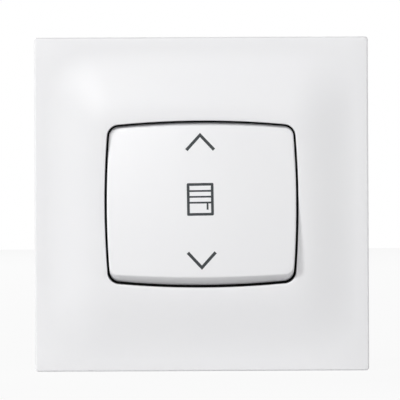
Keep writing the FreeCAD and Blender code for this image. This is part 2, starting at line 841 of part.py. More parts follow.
def mechanism_cover():
    overlap = 2 * flange_overlap
    flange = barrel_block(collar_width + overlap, collar_height + overlap,
                          opening_corner_radius + collar_wall, (-flange_front, -frame_sheet))
    plug = rounded_block(plug_side, plug_side, plug_corner, (-frame_sheet - weld, plug_depth))
    inner = cradle_width / 2 + running_gap
    bearings = [
        block((side * inner, side * (inner + bearing_thickness)),
              (-pivot_height - bearing_rise, -frame_sheet - weld),
              (-bearing_half_width, bearing_half_width))
        for side in SIDES
    ]
    cover = fused([flange, plug] + bearings)
    pocket = rounded_block(pocket_side, pocket_side, plug_corner / 2,
                           (-flange_front - cut_past, plug_depth - pocket_floor))
    outside = [
        block((side * inner, side * base_width), (-flange_front - cut_past, -flange_front),
              (-base_height, base_height))
        for side in SIDES
    ]
    cover = cover.cut(pocket.cut(fused(outside)))
    half_width, half_height = floor_window_width / 2, floor_window_height / 2
    cover = cover.cut(block((-half_width, half_width), (-cut_past, plug_depth + cut_past),
                            (-half_height, half_height)))
    axle = inner + bearing_thickness + cut_past
    cover = cover.cut(rod_x(-pivot_height, 0, trunnion_radius + bearing_play, (-axle, axle)))
    for side in SIDES:
        for level in SIDES:
            cover = cover.cut(
                rod_y(side * screw_x, level * screw_z, screw_clear_radius, (-flange_front - cut_past, 0))
            )
    return cover


# The housing: a moulded block with a front cavity for the rocking parts and pockets behind.


def terminal_pocket(side, level):
    play = terminal_width / 2 + terminal_play
    z = level * terminal_z
    inner = clamp_anchor_x - clamp_sheet
    return block((side * inner, side * (strip_outer_x + seat_play)), (deck_back, base_depth + cut_past),
                 (z - play, z + play))


def housing_base():
    body = rounded_block(base_width, base_height, base_corner, (0, base_depth))
    flange = rounded_block(base_flange_side, base_flange_side, base_flange_corner,
                           (0, base_flange_depth))
    body = fused([body, flange])
    cavity = plug_side + 2 * fit_play
    cuts = [
        rounded_block(cavity, cavity, plug_corner, (-cut_past, deck_front)),
        block((-deck_window_width / 2, deck_window_width / 2), (0, base_depth + cut_past),
              (-deck_window_height / 2, deck_window_height / 2)),
        block((-centre_pocket_width / 2, centre_pocket_width / 2), (deck_back, base_depth + cut_past),
              (-centre_pocket_height / 2, centre_pocket_height / 2)),
    ]
    roof = deck_back + strip_sheet + terminal_play
    play = terminal_play
    bridge = bridge_width / 2 + play
    wall = terminal_z + terminal_width / 2 + play
    outer = strip_outer_x + seat_play
    foot = strip_outer_x - strip_foot - play
    cuts.append(block((-outer, 0), (deck_back, roof), (-bridge, bridge)))
    cuts.append(block((-outer, -foot), (deck_back, deck_back + strip_foot + play), (-wall, wall)))
    for level in SIDES:
        arm = (level * (contact_arm_from - play), level * (contact_arm_to + play))
        cuts.append(block((0, outer), (deck_back, roof), arm))
        cuts.append(
            block((foot, outer), (deck_back, roof),
                  (level * (terminal_z - terminal_width / 2 - play), level * (contact_arm_to + play)))
        )
        latch_z = centre_pocket_height / 2
        latch_y = base_depth - latch_length
        half = latch_width / 2 + play
        cuts.append(
            block((-half, half), (latch_y - play, latch_y + latch_height + play),
                  (level * (latch_z - cut_past), level * (latch_z + latch_bite + play)))
        )
        for side in SIDES:
            cuts.append(terminal_pocket(side, level))
            cuts.append(
                rod_y(side * screw_x, level * screw_z, screw_radius + screw_play,
                      (-cut_past, screw_reach + cut_past))
            )
    base = body.cut(fused(cuts))
    seats = []
    low = deck_front - detent_seat_height
    half = detent_seat_width / 2
    x = (-detent_offset - half, -detent_offset + half)
    near, far = detent_reach - detent_seat_reach, detent_reach + detent_seat_reach
    stop = detent_reach + detent_seat_notch
    for level in SIDES:
        seats.append(block(x, (low + detent_sheet, deck_front + weld), (level * near, level * far)))
        seats.append(block(x, (low - detent_sheet, deck_front + weld), (level * stop, level * far)))
    return fused([base] + seats)


def assembly_screws():
    """Four pan-head screws that clamp the steel support between the cover and the housing."""
    screws = []
    for side in SIDES:
        for level in SIDES:
            x, z = side * screw_x, level * screw_z
            head_front = -flange_front - screw_head_height
            head = rod_y(x, z, screw_head_radius, (head_front, -flange_front))
            rim_edge = [e for e in head.Edges if e.BoundBox.YMax < head_front + touch]
            head = head.makeChamfer(screw_head_height / 3, rim_edge)
            shank = rod_y(x, z, screw_radius, (-flange_front - weld, screw_reach - screw_radius))
            point = Part.makeCone(screw_radius, screw_point_radius, screw_radius,
                                  Vector(x, screw_reach - screw_radius, z), Vector(0, 1, 0))
            screw = fused([head, shank, point])
            arm, half = screw_recess_reach, screw_recess / 2
            y = (head_front - cut_past, head_front + screw_recess_depth)
            screw = screw.cut(block((x - arm, x + arm), y, (z - half, z + half)))
            screws.append(screw.cut(block((x - half, x + half), y, (z - arm, z + arm))))
    return Part.makeCompound(screws)


def rear_cover():
    """Closes the terminals: four wire funnels, four button windows and two latches."""
    y = (base_depth, rear_cover_back)
    plate = rounded_block(base_width, base_height, base_corner, y)
    rear = [e for e in plate.Edges if e.BoundBox.YMin > rear_cover_back - touch]
    plate = plate.makeChamfer(rear_edge_chamfer, rear)
    adds, cuts = [], []
    for level in SIDES:
        z = level * (centre_pocket_height / 2 - 2 * seat_play)
        half = latch_width / 2
        tip = base_depth - latch_length
        adds.append(block((-half, half), (tip, base_depth + weld), (z, z - level * latch_thickness)))
        barb = [
            Vector(-half, tip, z - level * latch_thickness / 2),
            Vector(-half, tip, z),
            Vector(-half, tip + latch_height, z + level * latch_bite),
            Vector(-half, tip + latch_height, z - level * latch_thickness / 2),
        ]
        adds.append(Part.Face(Part.makePolygon(barb + barb[:1])).extrude(Vector(latch_width, 0, 0)))
        for side in SIDES:
            x, z = side * wire_entry_x, level * terminal_z
            adds.append(
                rod_y(x, z, wire_entry_radius + wire_collar_wall,
                      (base_depth - wire_collar_length, base_depth + weld))
            )
            cuts.append(rod_y(x, z, wire_entry_radius,
                              (base_depth - wire_collar_length - cut_past, rear_cover_back + cut_past)))
            cuts.append(
                Part.makeCone(wire_entry_radius, wire_funnel_radius, wire_funnel_depth,
                              Vector(x, rear_cover_back - wire_funnel_depth, z), Vector(0, 1, 0))
            )
            half = button_width / 2 + button_play
            cuts.append(
                block((side * (button_inner_x - button_play), side * (button_outer_x + button_play)),
                      (base_depth - cut_past, rear_cover_back + cut_past), (z - half, z + half))
            )
    return fused([plate] + adds).cut(fused(cuts))


NODES = {
    "cover_plate": cover_plate,
    "rocker": rocker,
    "rocker_cradle": rocker_cradle,
    "contact_plunger": contact_plunger,
    "plunger_spring": plunger_spring,
    "detent_spring": detent_spring,
    "contact_blade": contact_blade,
    "moving_tips": moving_tips,
    "common_strip": common_strip,
    "up_strip": lambda: contact_strip(LOWER),
    "down_strip": lambda: contact_strip(UPPER),
    "up_tip": lambda: fixed_tip(LOWER),
    "down_tip": lambda: fixed_tip(UPPER),
    "support_frame": support_frame,
    "mechanism_cover": mechanism_cover,
    "housing_base": housing_base,
    "assembly_screws": assembly_screws,
    "rear_cover": rear_cover,
}
TERMINALS = {
    "live_upper": (LEFT, UPPER),
    "live_lower": (LEFT, LOWER),
    "down": (RIGHT, UPPER),
    "up": (RIGHT, LOWER),
}

os.makedirs("parts", exist_ok=True)
for node, make in NODES.items():
    make().exportStep(f"parts/{node}.step")
for pole, place in TERMINALS.items():
    clamp_spring(*place).exportStep(f"parts/clamp_spring_{pole}.step")
    release_button(*place).exportStep(f"parts/release_button_{pole}.step")
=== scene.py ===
import math

import bmesh
import bpy
from mathutils import Matrix, Vector


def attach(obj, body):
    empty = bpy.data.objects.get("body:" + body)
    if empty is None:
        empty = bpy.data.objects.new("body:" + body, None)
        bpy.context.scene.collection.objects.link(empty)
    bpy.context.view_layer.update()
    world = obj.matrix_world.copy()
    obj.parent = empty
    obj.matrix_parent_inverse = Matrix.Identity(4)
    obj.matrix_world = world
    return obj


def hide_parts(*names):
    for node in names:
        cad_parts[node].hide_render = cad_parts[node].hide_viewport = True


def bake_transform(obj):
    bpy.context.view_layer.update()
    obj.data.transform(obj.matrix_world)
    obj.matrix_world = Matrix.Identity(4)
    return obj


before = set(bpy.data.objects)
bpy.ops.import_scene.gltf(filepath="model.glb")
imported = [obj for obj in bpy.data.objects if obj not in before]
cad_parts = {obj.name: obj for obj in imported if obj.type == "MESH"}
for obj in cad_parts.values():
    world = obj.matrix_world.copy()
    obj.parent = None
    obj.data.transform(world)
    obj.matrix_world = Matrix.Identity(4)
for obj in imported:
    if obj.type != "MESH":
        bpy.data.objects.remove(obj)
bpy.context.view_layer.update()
mm = 0.001

# Housing: the block behind the wall that holds the contacts and the clamps. It is moulded in
# glass-filled grey polyester, with a flange in front, and its corners are lightly rounded.

housing_edge = 0.18
edge_segments = 2
coplanar_deg = 0.4
sharp_deg = 32
same_place = 0.001             # corners closer than this are one
cloud_detail = 2.0
grain_detail = 3.0
grain_strength = 0.7
plastic_ior = 1.49


def linear(colour):
    """An sRGB hex colour as linear RGBA."""
    parts = [int(colour[i : i + 2], 16) / 255 for i in (1, 3, 5)]
    return [c / 12.92 if c <= 0.04045 else ((c + 0.055) / 1.055) ** 2.4 for c in parts] + [1.0]


def per(size_mm):
    """A pattern's scale for a real size in millimetres."""
    return 1000 / size_mm


def add(tree, kind, sockets, **settings):
    """Adds a node with its settings; each socket gets a value, or a link from another socket."""
    made = tree.nodes.new(kind)
    for key, value in settings.items():
        setattr(made, key, value)
    for name, value in sockets.items():
        if isinstance(value, bpy.types.NodeSocket):
            tree.links.new(value, made.inputs[name])
        else:
            made.inputs[name].default_value = value
    return made


def start_material(name):
    """A material with no nodes but the place on the piece, in metres."""
    material = bpy.data.materials.new(name)
    material.use_nodes = True
    tree = material.node_tree
    tree.nodes.clear()
    place = add(tree, "ShaderNodeTexCoord", {}).outputs["Object"]
    return material, tree, place


def finish_material(material, tree, sockets):
    """Ends a material in one shader with the given sockets."""
    shader = add(tree, "ShaderNodeBsdfPrincipled", sockets)
    add(tree, "ShaderNodeOutputMaterial", {"Surface": shader.outputs["BSDF"]})
    return material


def noise(tree, place, size_mm, detail):
    """A cloudy pattern of about the given size, from 0 to 1."""
    sockets = {"Vector": place, "Scale": per(size_mm), "Detail": detail}
    return add(tree, "ShaderNodeTexNoise", sockets).outputs["Fac"]


# The colour sockets of a Mix node, by number, since its float sockets have the same names.
colour_a, colour_b, colour_mixed = 6, 7, 2


def tinted(tree, amount, shade, colour):
    """The shade where the amount is 0 and the colour where it is 1."""
    sockets = {0: amount, colour_a: linear(shade), colour_b: linear(colour)}
    return add(tree, "ShaderNodeMix", sockets, data_type="RGBA").outputs[colour_mixed]


def relief(tree, height, strength, depth_mm):
    """A bumped normal."""
    sockets = {"Height": height, "Strength": strength, "Distance": depth_mm * mm}
    return add(tree, "ShaderNodeBump", sockets).outputs["Normal"]


def uneven(tree, amount, middle, spread):
    """A value that wanders about a middle."""
    sockets = {"Value": amount, "To Min": middle - spread, "To Max": middle + spread}
    return add(tree, "ShaderNodeMapRange", sockets).outputs["Result"]


def moulded_plastic(name, colour, shade, flow_mm, grain_mm, grain_depth_mm, roughness, spread):
    """Injection-moulded plastic: an even colour with faint flow shades, over the mould's own grain."""
    material, tree, place = start_material(name)
    flow = noise(tree, place, flow_mm, cloud_detail)
    grain = noise(tree, place, grain_mm, grain_detail)
    sockets = {
        "Base Color": tinted(tree, flow, shade, colour),
        "Roughness": uneven(tree, flow, roughness, spread),
        "Normal": relief(tree, grain, grain_strength, grain_depth_mm),
        "IOR": plastic_ior,
    }
    return finish_material(material, tree, sockets)


def pick(piece):
    """Selects a piece and nothing else."""
    bpy.ops.object.select_all(action="DESELECT")
    piece.select_set(True)
    bpy.context.view_layer.objects.active = piece


def smooth(piece):
    """Smooth shading, apart from the piece's sharp edges."""
    pick(piece)
    bpy.ops.object.shade_smooth_by_angle(angle=math.radians(sharp_deg))


def hand_over(piece, material, body, slot, *nodes):
    """Gives a finished piece its material and its body, and hides the CAD nodes that it stands for.
    The slot is not used.
    """
    piece.data.materials.clear()
    piece.data.materials.append(material)
    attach(piece, body)
    if nodes:
        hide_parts(*nodes)


def cad_copy(name, node, whole_faces):
    """A CAD piece in a mesh of its own, with its triangles joined at their corners and, if asked,
    merged into whole faces."""
    piece = bpy.data.objects.new(name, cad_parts[node].data.copy())
    piece.data.name = name
    bpy.context.collection.objects.link(piece)
    pick(piece)
    bpy.ops.mesh.customdata_custom_splitnormals_clear()
    bpy.ops.object.mode_set(mode="EDIT")
    bpy.ops.mesh.select_all(action="SELECT")
    bpy.ops.mesh.remove_doubles(threshold=same_place * mm)
    if whole_faces:
        bpy.ops.mesh.dissolve_limited(angle_limit=math.radians(coplanar_deg))
    bpy.ops.object.mode_set(mode="OBJECT")
    return piece


def finished_copy(name, node, edge, material, body, slot):
    """A CAD piece with its edges rounded, as a tool leaves them."""
    piece = cad_copy(name, node, whole_faces=True)
    smooth(piece)
    rounding = piece.modifiers.new("rounding", "BEVEL")
    rounding.width = edge * mm
    rounding.segments = edge_segments
    rounding.limit_method = "ANGLE"
    rounding.angle_limit = math.radians(sharp_deg)
    rounding.harden_normals = True
    bpy.ops.object.modifier_apply(modifier=rounding.name)
    hand_over(piece, material, body, slot, node)


# Polybutylene terephthalate with glass fibre, from a spark-eroded mould: matt, finely grained.
housing_plastic = moulded_plastic(
    "glass_filled_pbt_grey", colour="#A2A4A6", shade="#97999C",
    flow_mm=14, grain_mm=0.35, grain_depth_mm=0.012, roughness=0.52, spread=0.05,
)
finished_copy(
    "housing_block", "housing_base", housing_edge, housing_plastic, "mechanism", "housing_plastic",
)

# Contacts: three stamped and bent strips of bronze. The left one is the live pole with its knife
# edge, the two on the right are the switched poles. A see-saw blade of the same sheet rocks on the
# knife edge, and silver rivets touch where the circuit closes.

line_detail = 4.0
line_strength = 0.5
line_depth_mm = 0.004


def rolled_metal(name, colour, shade, cloud_mm, grain_mm, stretch, roughness, spread):
    """Rolled or drawn metal: faint clouds in its colour, and fine lines along the rolling."""
    material, tree, place = start_material(name)
    cloud = noise(tree, place, cloud_mm, grain_detail)
    drawn = add(tree, "ShaderNodeMapping", {"Vector": place, "Scale": (1, 1, 1 / stretch)})
    lines = noise(tree, drawn.outputs["Vector"], grain_mm, line_detail)
    sockets = {
        "Base Color": tinted(tree, cloud, shade, colour),
        "Metallic": 1.0,
        "Roughness": uneven(tree, cloud, roughness, spread),
        "Normal": relief(tree, lines, line_strength, line_depth_mm),
    }
    return finish_material(material, tree, sockets)


def paint(material, *nodes):
    """Gives CAD pieces, whose shape stays as it is, their material."""
    for node in nodes:
        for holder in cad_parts[node].material_slots:
            holder.material = material


# Rolled tin bronze: a warm, reddish metal with a dull sheen.
bronze = rolled_metal(
    "rolled_tin_bronze", colour="#C58E66", shade="#A8714D",
    cloud_mm=5, grain_mm=0.25, stretch=14.0, roughness=0.34, spread=0.06,
)
# Silver rivets, upset in a die: pale, soft and a little dull.
silver = rolled_metal(
    "contact_silver", colour="#E6E4DF", shade="#D2CFC8",
    cloud_mm=1.2, grain_mm=0.2, stretch=1.0, roughness=0.28, spread=0.06,
)
paint(bronze, "common_strip", "up_strip", "down_strip", "contact_blade")
paint(silver, "up_tip", "down_tip", "moving_tips")

# Clamps: four bent springs of stainless strip that bite the wire against its strip, the leaf of the
# three-position detent and the coil spring of the plunger.

# Stainless spring steel, drawn bright: hard, clean reflections with fine lines.
spring_steel = rolled_metal(
    "bright_spring_steel", colour="#C9C8C4", shade="#B2B1AD",
    cloud_mm=3, grain_mm=0.15, stretch=20.0, roughness=0.24, spread=0.05,
)
paint(spring_steel, "detent_spring")


def bending_copy(name, node, material):
    """A spring of the CAD model in a mesh of its own, shaded smooth, with its material and its place
    baked in. The CAD node is hidden."""
    piece = cad_copy(name, node, whole_faces=False)
    smooth(piece)
    piece.data.materials.clear()
    piece.data.materials.append(material)
    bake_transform(piece)
    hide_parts(node)


# A copy of each terminal's clamp spring, as the CAD model has it.
terminals = ("live_upper", "live_lower", "down", "up")
for terminal in terminals:
    bending_copy(
        "clamp_leaf_" + terminal, "clamp_spring_" + terminal, spring_steel,
    )
# The coil spring sits on the floor of the cradle's bore, and its other end bears on the plunger.
bending_copy(
    "plunger_coil", "plunger_spring", spring_steel,
)

# Release keys: four orange slides in the rear cover. A screwdriver or a finger pushes one in to
# free its wire. Their colour tells them from the grey cover round them.

# Acetal, moulded bright orange: smooth and slightly waxy.
key_plastic = moulded_plastic(
    "orange_acetal", colour="#EC7A24", shade="#E06C1A",
    flow_mm=4, grain_mm=0.3, grain_depth_mm=0.006, roughness=0.36, spread=0.04,
)
key_edge = 0.12
for terminal in terminals:
    finished_copy(
        "release_key_" + terminal, "release_button_" + terminal, key_edge,
        key_plastic, "button_" + terminal, "button_plastic",
    )

# Rear cover: closes the terminals behind, in the same grey polyester as the housing. It snaps in
# with two latches, and its four funnels lead the wires in.

cover_edge = 0.12
finished_copy(
    "terminal_cover", "rear_cover", cover_edge, housing_plastic, "mechanism", "housing_plastic",
)

# Steel support: pressed from 1 mm sheet, with slots for the box screws, flanges that stiffen it and
# four window tabs for the cover plate. Four pan-head screws hold it to the housing.

sheet_edge = 0.1
screw_edge = 0.08

# Zinc-plated steel, passivated clear: a bluish grey with soft clouds and a satin sheen.
zinc_plated = rolled_metal(
    "clear_zinc_plating", colour="#C4C8CC", shade="#A9AEB3",
    cloud_mm=4, grain_mm=0.4, stretch=1.0, roughness=0.36, spread=0.08,
)
finished_copy(
    "steel_support", "support_frame", sheet_edge, zinc_plated, "mechanism", "zinc_plated_steel",
)
finished_copy(
    "pan_head_screws", "assembly_screws", screw_edge, zinc_plated, "mechanism", "zinc_plated_steel",
)

# Front cover of the mechanism: the dark ground of the gap round the rocker, with the bearings of
# the cradle.

# The same polyester in black, from a spark-eroded mould: it swallows the light in the gap.
black_plastic = moulded_plastic(
    "glass_filled_pbt_black", colour="#222325", shade="#1C1D1F",
    flow_mm=12, grain_mm=0.35, grain_depth_mm=0.012, roughness=0.58, spread=0.05,
)
finished_copy(
    "mechanism_front", "mechanism_cover", cover_edge, black_plastic, "mechanism", "cover_plastic",
)

# Cradle and plunger: the cradle turns on two trunnions and carries the rocker. Its hub holds a
# ball-nosed plunger that drives the contact blade.

# Polyamide, moulded black: a little smoother than the cover, so its ribs catch some light.
cradle_plastic = moulded_plastic(
    "black_polyamide", colour="#2E2F32", shade="#27282A",
    flow_mm=8, grain_mm=0.3, grain_depth_mm=0.008, roughness=0.45, spread=0.05,
)
# Natural acetal: off-white, smooth and slippery.
plunger_plastic = moulded_plastic(
    "natural_acetal", colour="#EFEBDF", shade="#E6E1D3",
    flow_mm=3, grain_mm=0.3, grain_depth_mm=0.004, roughness=0.3, spread=0.04,
)
finished_copy(
    "tilting_cradle", "rocker_cradle", cover_edge, cradle_plastic, "rocker", "cradle_plastic",
)
paint(plunger_plastic, "contact_plunger")

# Rocker: one shallow moulding in glossy white, with a domed face, long sloping ends and a skirt
# that runs back into the opening. Behind it are a rib frame and four clips for the cradle. It is
# modelled level, from a grid, and then turned to rest with its upper end pressed in.

# Depths count forwards from the wall, here and in the cover plate.
side_steps = 24
corner_steps = 12
round_steps = 5
halvings = 40                  # of a line, to find where it meets the dome
bow_radius = 218.0             # of the four shallow sides, in the opening too
opening_width = 47.6
opening_height = 41.0
rocker_gap = 0.5
crown = 11.6                   # the depth of the face's middle
skirt_edge = 4.4               # the depth of the skirt's rear edge
slope_break = 8.2              # where the skirt ends and the slopes start
over_crown = 1.0               # how far the walls run on for the dome to cut them
end_draft_deg = 20.0
side_draft_deg = 2.0
skirt_draft_deg = 3.0
foot_corner = 2.5
face_corner = 1.7
face_round = 0.45
dome_radius = 320.0
rocker_wall = 1.5
pivot_front = 4.2              # the depth of the trunnions' axis
half_throw_deg = 6.0
in_face_wall = 10.5            # a depth inside the face, where ribs and clips take root
cradle_seat = 8.4              # the depth at which the ribs rest on the cradle
rib_frame_half = 11.0
rib_width = 1.2
stay_end = 22.4
stay_draft = 0.02              # a stay is thinner by this at its root, and again at its end
clip_x = 9.5
clip_half_width = 1.48         # a hair under the clip's own 1.5, to stay clear of the rib's plane
clip_outer = 8.4
clip_inner = 7.0
clip_hook_outer = 9.0
clip_hook_front = 6.35
clip_end = 5.45


def barrel(width, height, bow, corner, y):
    """A ring of points, clockwise from the front: four shallow arcs joined by rounded corners."""
    reach = bow - corner
    top = Vector((0, height / 2 - bow))
    side = Vector((width / 2 - bow, 0))
    between = side - top
    rise = math.sqrt(reach**2 - (between.length / 2) ** 2)
    centre = (top + side) / 2 + Vector((-between.y, between.x)) * (-rise / between.length)
    to_top = centre - top
    to_side = centre - side
    top_half = math.atan2(to_top.x, to_top.y)
    side_half = math.atan2(to_side.y, to_side.x)
    quarter = []
    for i in range(side_steps // 2):
        angle = top_half * i / (side_steps // 2)
        quarter.append(top + bow * Vector((math.sin(angle), math.cos(angle))))
    for i in range(corner_steps):
        angle = top_half + (math.pi / 2 - side_half - top_half) * i / corner_steps
        quarter.append(centre + corner * Vector((math.sin(angle), math.cos(angle))))
    for i in range(side_steps // 2):
        angle = side_half * (1 - i / (side_steps // 2))
        quarter.append(side + bow * Vector((math.cos(angle), math.sin(angle))))
    crest, flank = quarter[0], Vector((width / 2, 0))
    right = quarter + [flank] + [Vector((p.x, -p.y)) for p in reversed(quarter[1:])]
    left = [Vector((-p.x, p.y)) for p in reversed(right[1:])]
    ring = right + [Vector((crest.x, -crest.y))] + left
    return [Vector((p.x * mm, y * mm, p.y * mm)) for p in ring]


def dome(x, z, lift=0.0):
    """Where the domed face lies along Y, in metres, at a place across it."""
    radius = (dome_radius + lift) * mm
    return (dome_radius - crown) * mm - math.sqrt(radius**2 - x**2 - z**2)


def rocker_outline(inset):
    """The rings of the skirt's edge, of the break and of the face before the dome cuts it."""
    skirt = (slope_break - skirt_edge) * math.tan(math.radians(skirt_draft_deg))
    rise = crown + over_crown - slope_break
    end_slope = rise * math.tan(math.radians(end_draft_deg))
    side_slope = rise * math.tan(math.radians(side_draft_deg))
    width = opening_width - 2 * rocker_gap - 2 * inset
    height = opening_height - 2 * rocker_gap - 2 * inset
    waist_width = width - skirt / 2
    waist_height = height - 2 * skirt
    return (
        barrel(width, height, bow_radius, foot_corner, -skirt_edge),
        barrel(waist_width, waist_height, bow_radius, foot_corner, -slope_break),
        barrel(
            waist_width - 2 * side_slope, waist_height - 2 * end_slope,
            bow_radius, face_corner, -crown - over_crown,
        ),
    )


def on_dome(low, high, lift):
    """Where the line between two points goes through the dome, found by halving."""
    near, far = 0.0, 1.0
    for _ in range(halvings):
        middle = (near + far) / 2
        point = low.lerp(high, middle)
        if point.y > dome(point.x, point.z, lift):
            near = middle
        else:
            far = middle
    return low.lerp(high, near)


def face_round_rings(waist, top):
    """The rounded edge between the walls and the domed face, from the face outwards."""
    rings = [[] for _ in range(round_steps + 1)]
    for i, (low, high) in enumerate(zip(waist, top)):
        corner = on_dome(low, high, 0)
        up = (high - low).normalized()
        run = top[(i + 1) % len(top)] - top[i - 1]
        inward = Vector((run.z, 0, -run.x)).normalized()
        ahead = corner + inward * face_round * mm
        ahead.y = dome(ahead.x, ahead.z)
        across = (ahead - corner).normalized()
        turn = up.angle(across)
        reach = face_round * mm * math.tan(turn / 2)
        wall_end = corner - up * reach
        face_end = corner + across * reach
        face_end.y = dome(face_end.x, face_end.z)
        weight = math.cos(turn / 2)
        for step, ring in enumerate(rings):
            v = step / round_steps
            a, b, c = (1 - v) ** 2, 2 * weight * v * (1 - v), v**2
            ring.append((face_end * a + corner * b + wall_end * c) / (a + b + c))
    return rings


def face_grid(name, ring):
    """A grid whose border is the ring and whose inside lies on the dome."""
    count = len(ring) // 4
    bpy.ops.object.select_all(action="DESELECT")
    bpy.ops.mesh.primitive_grid_add(x_subdivisions=count, y_subdivisions=count, size=2)
    piece = bpy.context.object
    piece.name = name
    piece.data.name = name
    bpy.ops.object.mode_set(mode="EDIT")
    sheet = bmesh.from_edit_mesh(piece.data)
    station = sheet.verts.layers.int.new("station")
    shift = count // 2

    def border(i, j):
        """The station of a border vertex: i counts to the right, and j counts upwards."""
        if j == count:
            return (i - shift) % len(ring)
        if i == count:
            return shift + count - j
        if j == 0:
            return shift + 2 * count - i
        return (shift + 2 * count + j) % len(ring)

    for vertex in sheet.verts:
        i = round((vertex.co.x + 1) / 2 * count)
        j = round((vertex.co.y + 1) / 2 * count)
        if i in (0, count) or j in (0, count):
            vertex[station] = border(i, j)
            vertex.co = ring[vertex[station]]
            continue
        vertex[station] = -1
        u, v = i / count, j / count
        across = ring[border(i, 0)] * (1 - v) + ring[border(i, count)] * v
        along = ring[border(0, j)] * (1 - u) + ring[border(count, j)] * u
        low = ring[border(0, 0)] * (1 - u) + ring[border(count, 0)] * u
        high = ring[border(0, count)] * (1 - u) + ring[border(count, count)] * u
        point = across + along - low * (1 - v) - high * v
        vertex.co = Vector((point.x, dome(point.x, point.z), point.z))
    bmesh.update_edit_mesh(piece.data)
    return piece


def select_open_edges():
    """Selects the edges that have a face on one side only."""
    bpy.ops.mesh.select_all(action="DESELECT")
    bpy.ops.mesh.select_mode(type="EDGE")
    bpy.ops.mesh.select_non_manifold(
        extend=False, use_wire=False, use_boundary=True,
        use_multi_face=False, use_non_contiguous=False, use_verts=False,
    )


def lay(piece, ring):
    """Moves the selected vertices to their own stations on a ring."""
    sheet = bmesh.from_edit_mesh(piece.data)
    station = sheet.verts.layers.int["station"]
    for vertex in sheet.verts:
        if vertex.select:
            vertex.co = ring[vertex[station]]
    bmesh.update_edit_mesh(piece.data)


def extrude_rings(piece, rings):
    """Extrudes the selected edge loop once for each ring."""
    for ring in rings:
        bpy.ops.mesh.extrude_edges_move()
        lay(piece, ring)


def close_shell(piece):
    """Leaves edit mode with all faces turned outwards."""
    bpy.ops.mesh.select_all(action="SELECT")
    bpy.ops.mesh.normals_make_consistent(inside=False)
    bpy.ops.object.mode_set(mode="OBJECT")
    if "station" in piece.data.attributes:
        piece.data.attributes.remove(piece.data.attributes["station"])


def prism(loops, sweep):
    """A solid: a flat outline in millimetres, with holes in it if more follow, drawn out along a
    vector."""
    bpy.ops.object.select_all(action="DESELECT")
    bpy.ops.mesh.primitive_circle_add(vertices=len(loops[0]), radius=mm, fill_type="NOTHING")
    piece = bpy.context.object
    bpy.ops.object.mode_set(mode="EDIT")
    for hole in loops[1:]:
        bpy.ops.mesh.primitive_circle_add(vertices=len(hole), radius=mm, fill_type="NOTHING")
    sheet = bmesh.from_edit_mesh(piece.data)
    for vertex, place in zip(sheet.verts, [place for loop in loops for place in loop]):
        vertex.co = Vector(place) * mm
    bmesh.update_edit_mesh(piece.data)
    bpy.ops.mesh.select_all(action="SELECT")
    bpy.ops.mesh.fill(use_beauty=False)
    bpy.ops.mesh.extrude_region_move(TRANSFORM_OT_translate={"value": [c * mm for c in sweep]})
    close_shell(piece)
    return piece


def weld(piece, bars):
    """Makes each bar one with the piece."""
    for part in bars:
        pick(piece)
        union = piece.modifiers.new("union", "BOOLEAN")
        union.operation = "UNION"
        union.solver = "EXACT"
        union.object = part
        bpy.ops.object.modifier_apply(modifier=union.name)
        bpy.data.objects.remove(part)


def to_rest(piece):
    """Turns a level rocker piece to its rest, in its mesh."""
    pivot = Vector((0, -pivot_front * mm, 0))
    turn = Matrix.Rotation(math.radians(-half_throw_deg), 4, "X")
    piece.data.transform(Matrix.Translation(pivot) @ turn @ Matrix.Translation(-pivot))
    piece.data.update()


def rocker_ribs():
    """The square rib frame with its four stays to the sides, and the four clips."""
    outer, inner = rib_frame_half, rib_frame_half - rib_width
    quarter = [(outer, inner + stay_draft), (stay_end, inner + 2 * stay_draft), (stay_end, outer)]
    outline = [(x, z) for x, z in quarter] + [(-x, z) for x, z in reversed(quarter)]
    outline += [(-x, -z) for x, z in quarter] + [(x, -z) for x, z in reversed(quarter)]
    hole = [(inner, inner), (-inner, inner), (-inner, -inner), (inner, -inner)]
    loops = [[(x, -in_face_wall, z) for x, z in loop] for loop in (outline, hole)]
    bars = [prism(loops, (0, in_face_wall - cradle_seat, 0))]
    for side in (-1, 1):
        for level in (-1, 1):
            start = side * clip_x - clip_half_width
            profile = [
                (-in_face_wall, clip_inner), (-in_face_wall, clip_outer),
                (-clip_hook_front, clip_outer), (-clip_hook_front, clip_hook_outer),
                (-clip_end, clip_hook_outer), (-clip_end, clip_inner),
            ]
            outline = [(start, y, level * z) for y, z in profile]
            bars.append(prism([outline], (2 * clip_half_width, 0, 0)))
    return bars


# Thermoplastic in pure white from a polished tool: smooth, with soft and broad highlights.
white_plastic = moulded_plastic(
    "polished_white_thermoplastic", colour="#F1F1F2", shade="#EEEEF0",
    flow_mm=22, grain_mm=0.9, grain_depth_mm=0.004, roughness=0.3, spread=0.03,
)

foot_ring, waist_ring, top_ring = rocker_outline(0)
round_rings = face_round_rings(waist_ring, top_ring)
rocker = face_grid("rocker_moulding", round_rings[0])
select_open_edges()
extrude_rings(rocker, round_rings[1:] + [waist_ring, foot_ring])
inner_foot, inner_waist, inner_top = rocker_outline(rocker_wall)
inner_face = [on_dome(low, high, -rocker_wall) for low, high in zip(inner_waist, inner_top)]
extrude_rings(rocker, [inner_foot, inner_waist, inner_face])
bpy.ops.mesh.fill_grid(span=len(foot_ring) // 4)
hollow = bmesh.from_edit_mesh(rocker.data)
for vertex in hollow.verts:
    if vertex.select:
        vertex.co.y = dome(vertex.co.x, vertex.co.z, -rocker_wall)
bmesh.update_edit_mesh(rocker.data)
close_shell(rocker)
weld(rocker, rocker_ribs())
to_rest(rocker)
smooth(rocker)
hand_over(rocker, white_plastic, "rocker", "plate_plastic", "rocker")

# Signs on the rocker: an arrow up, a roller shutter and an arrow down, printed in dark slate ink.
# Each is a film of ink that follows the dome and tilts with the rocker. The print sits a hair to
# the left and is turned a touch, as in the photo.

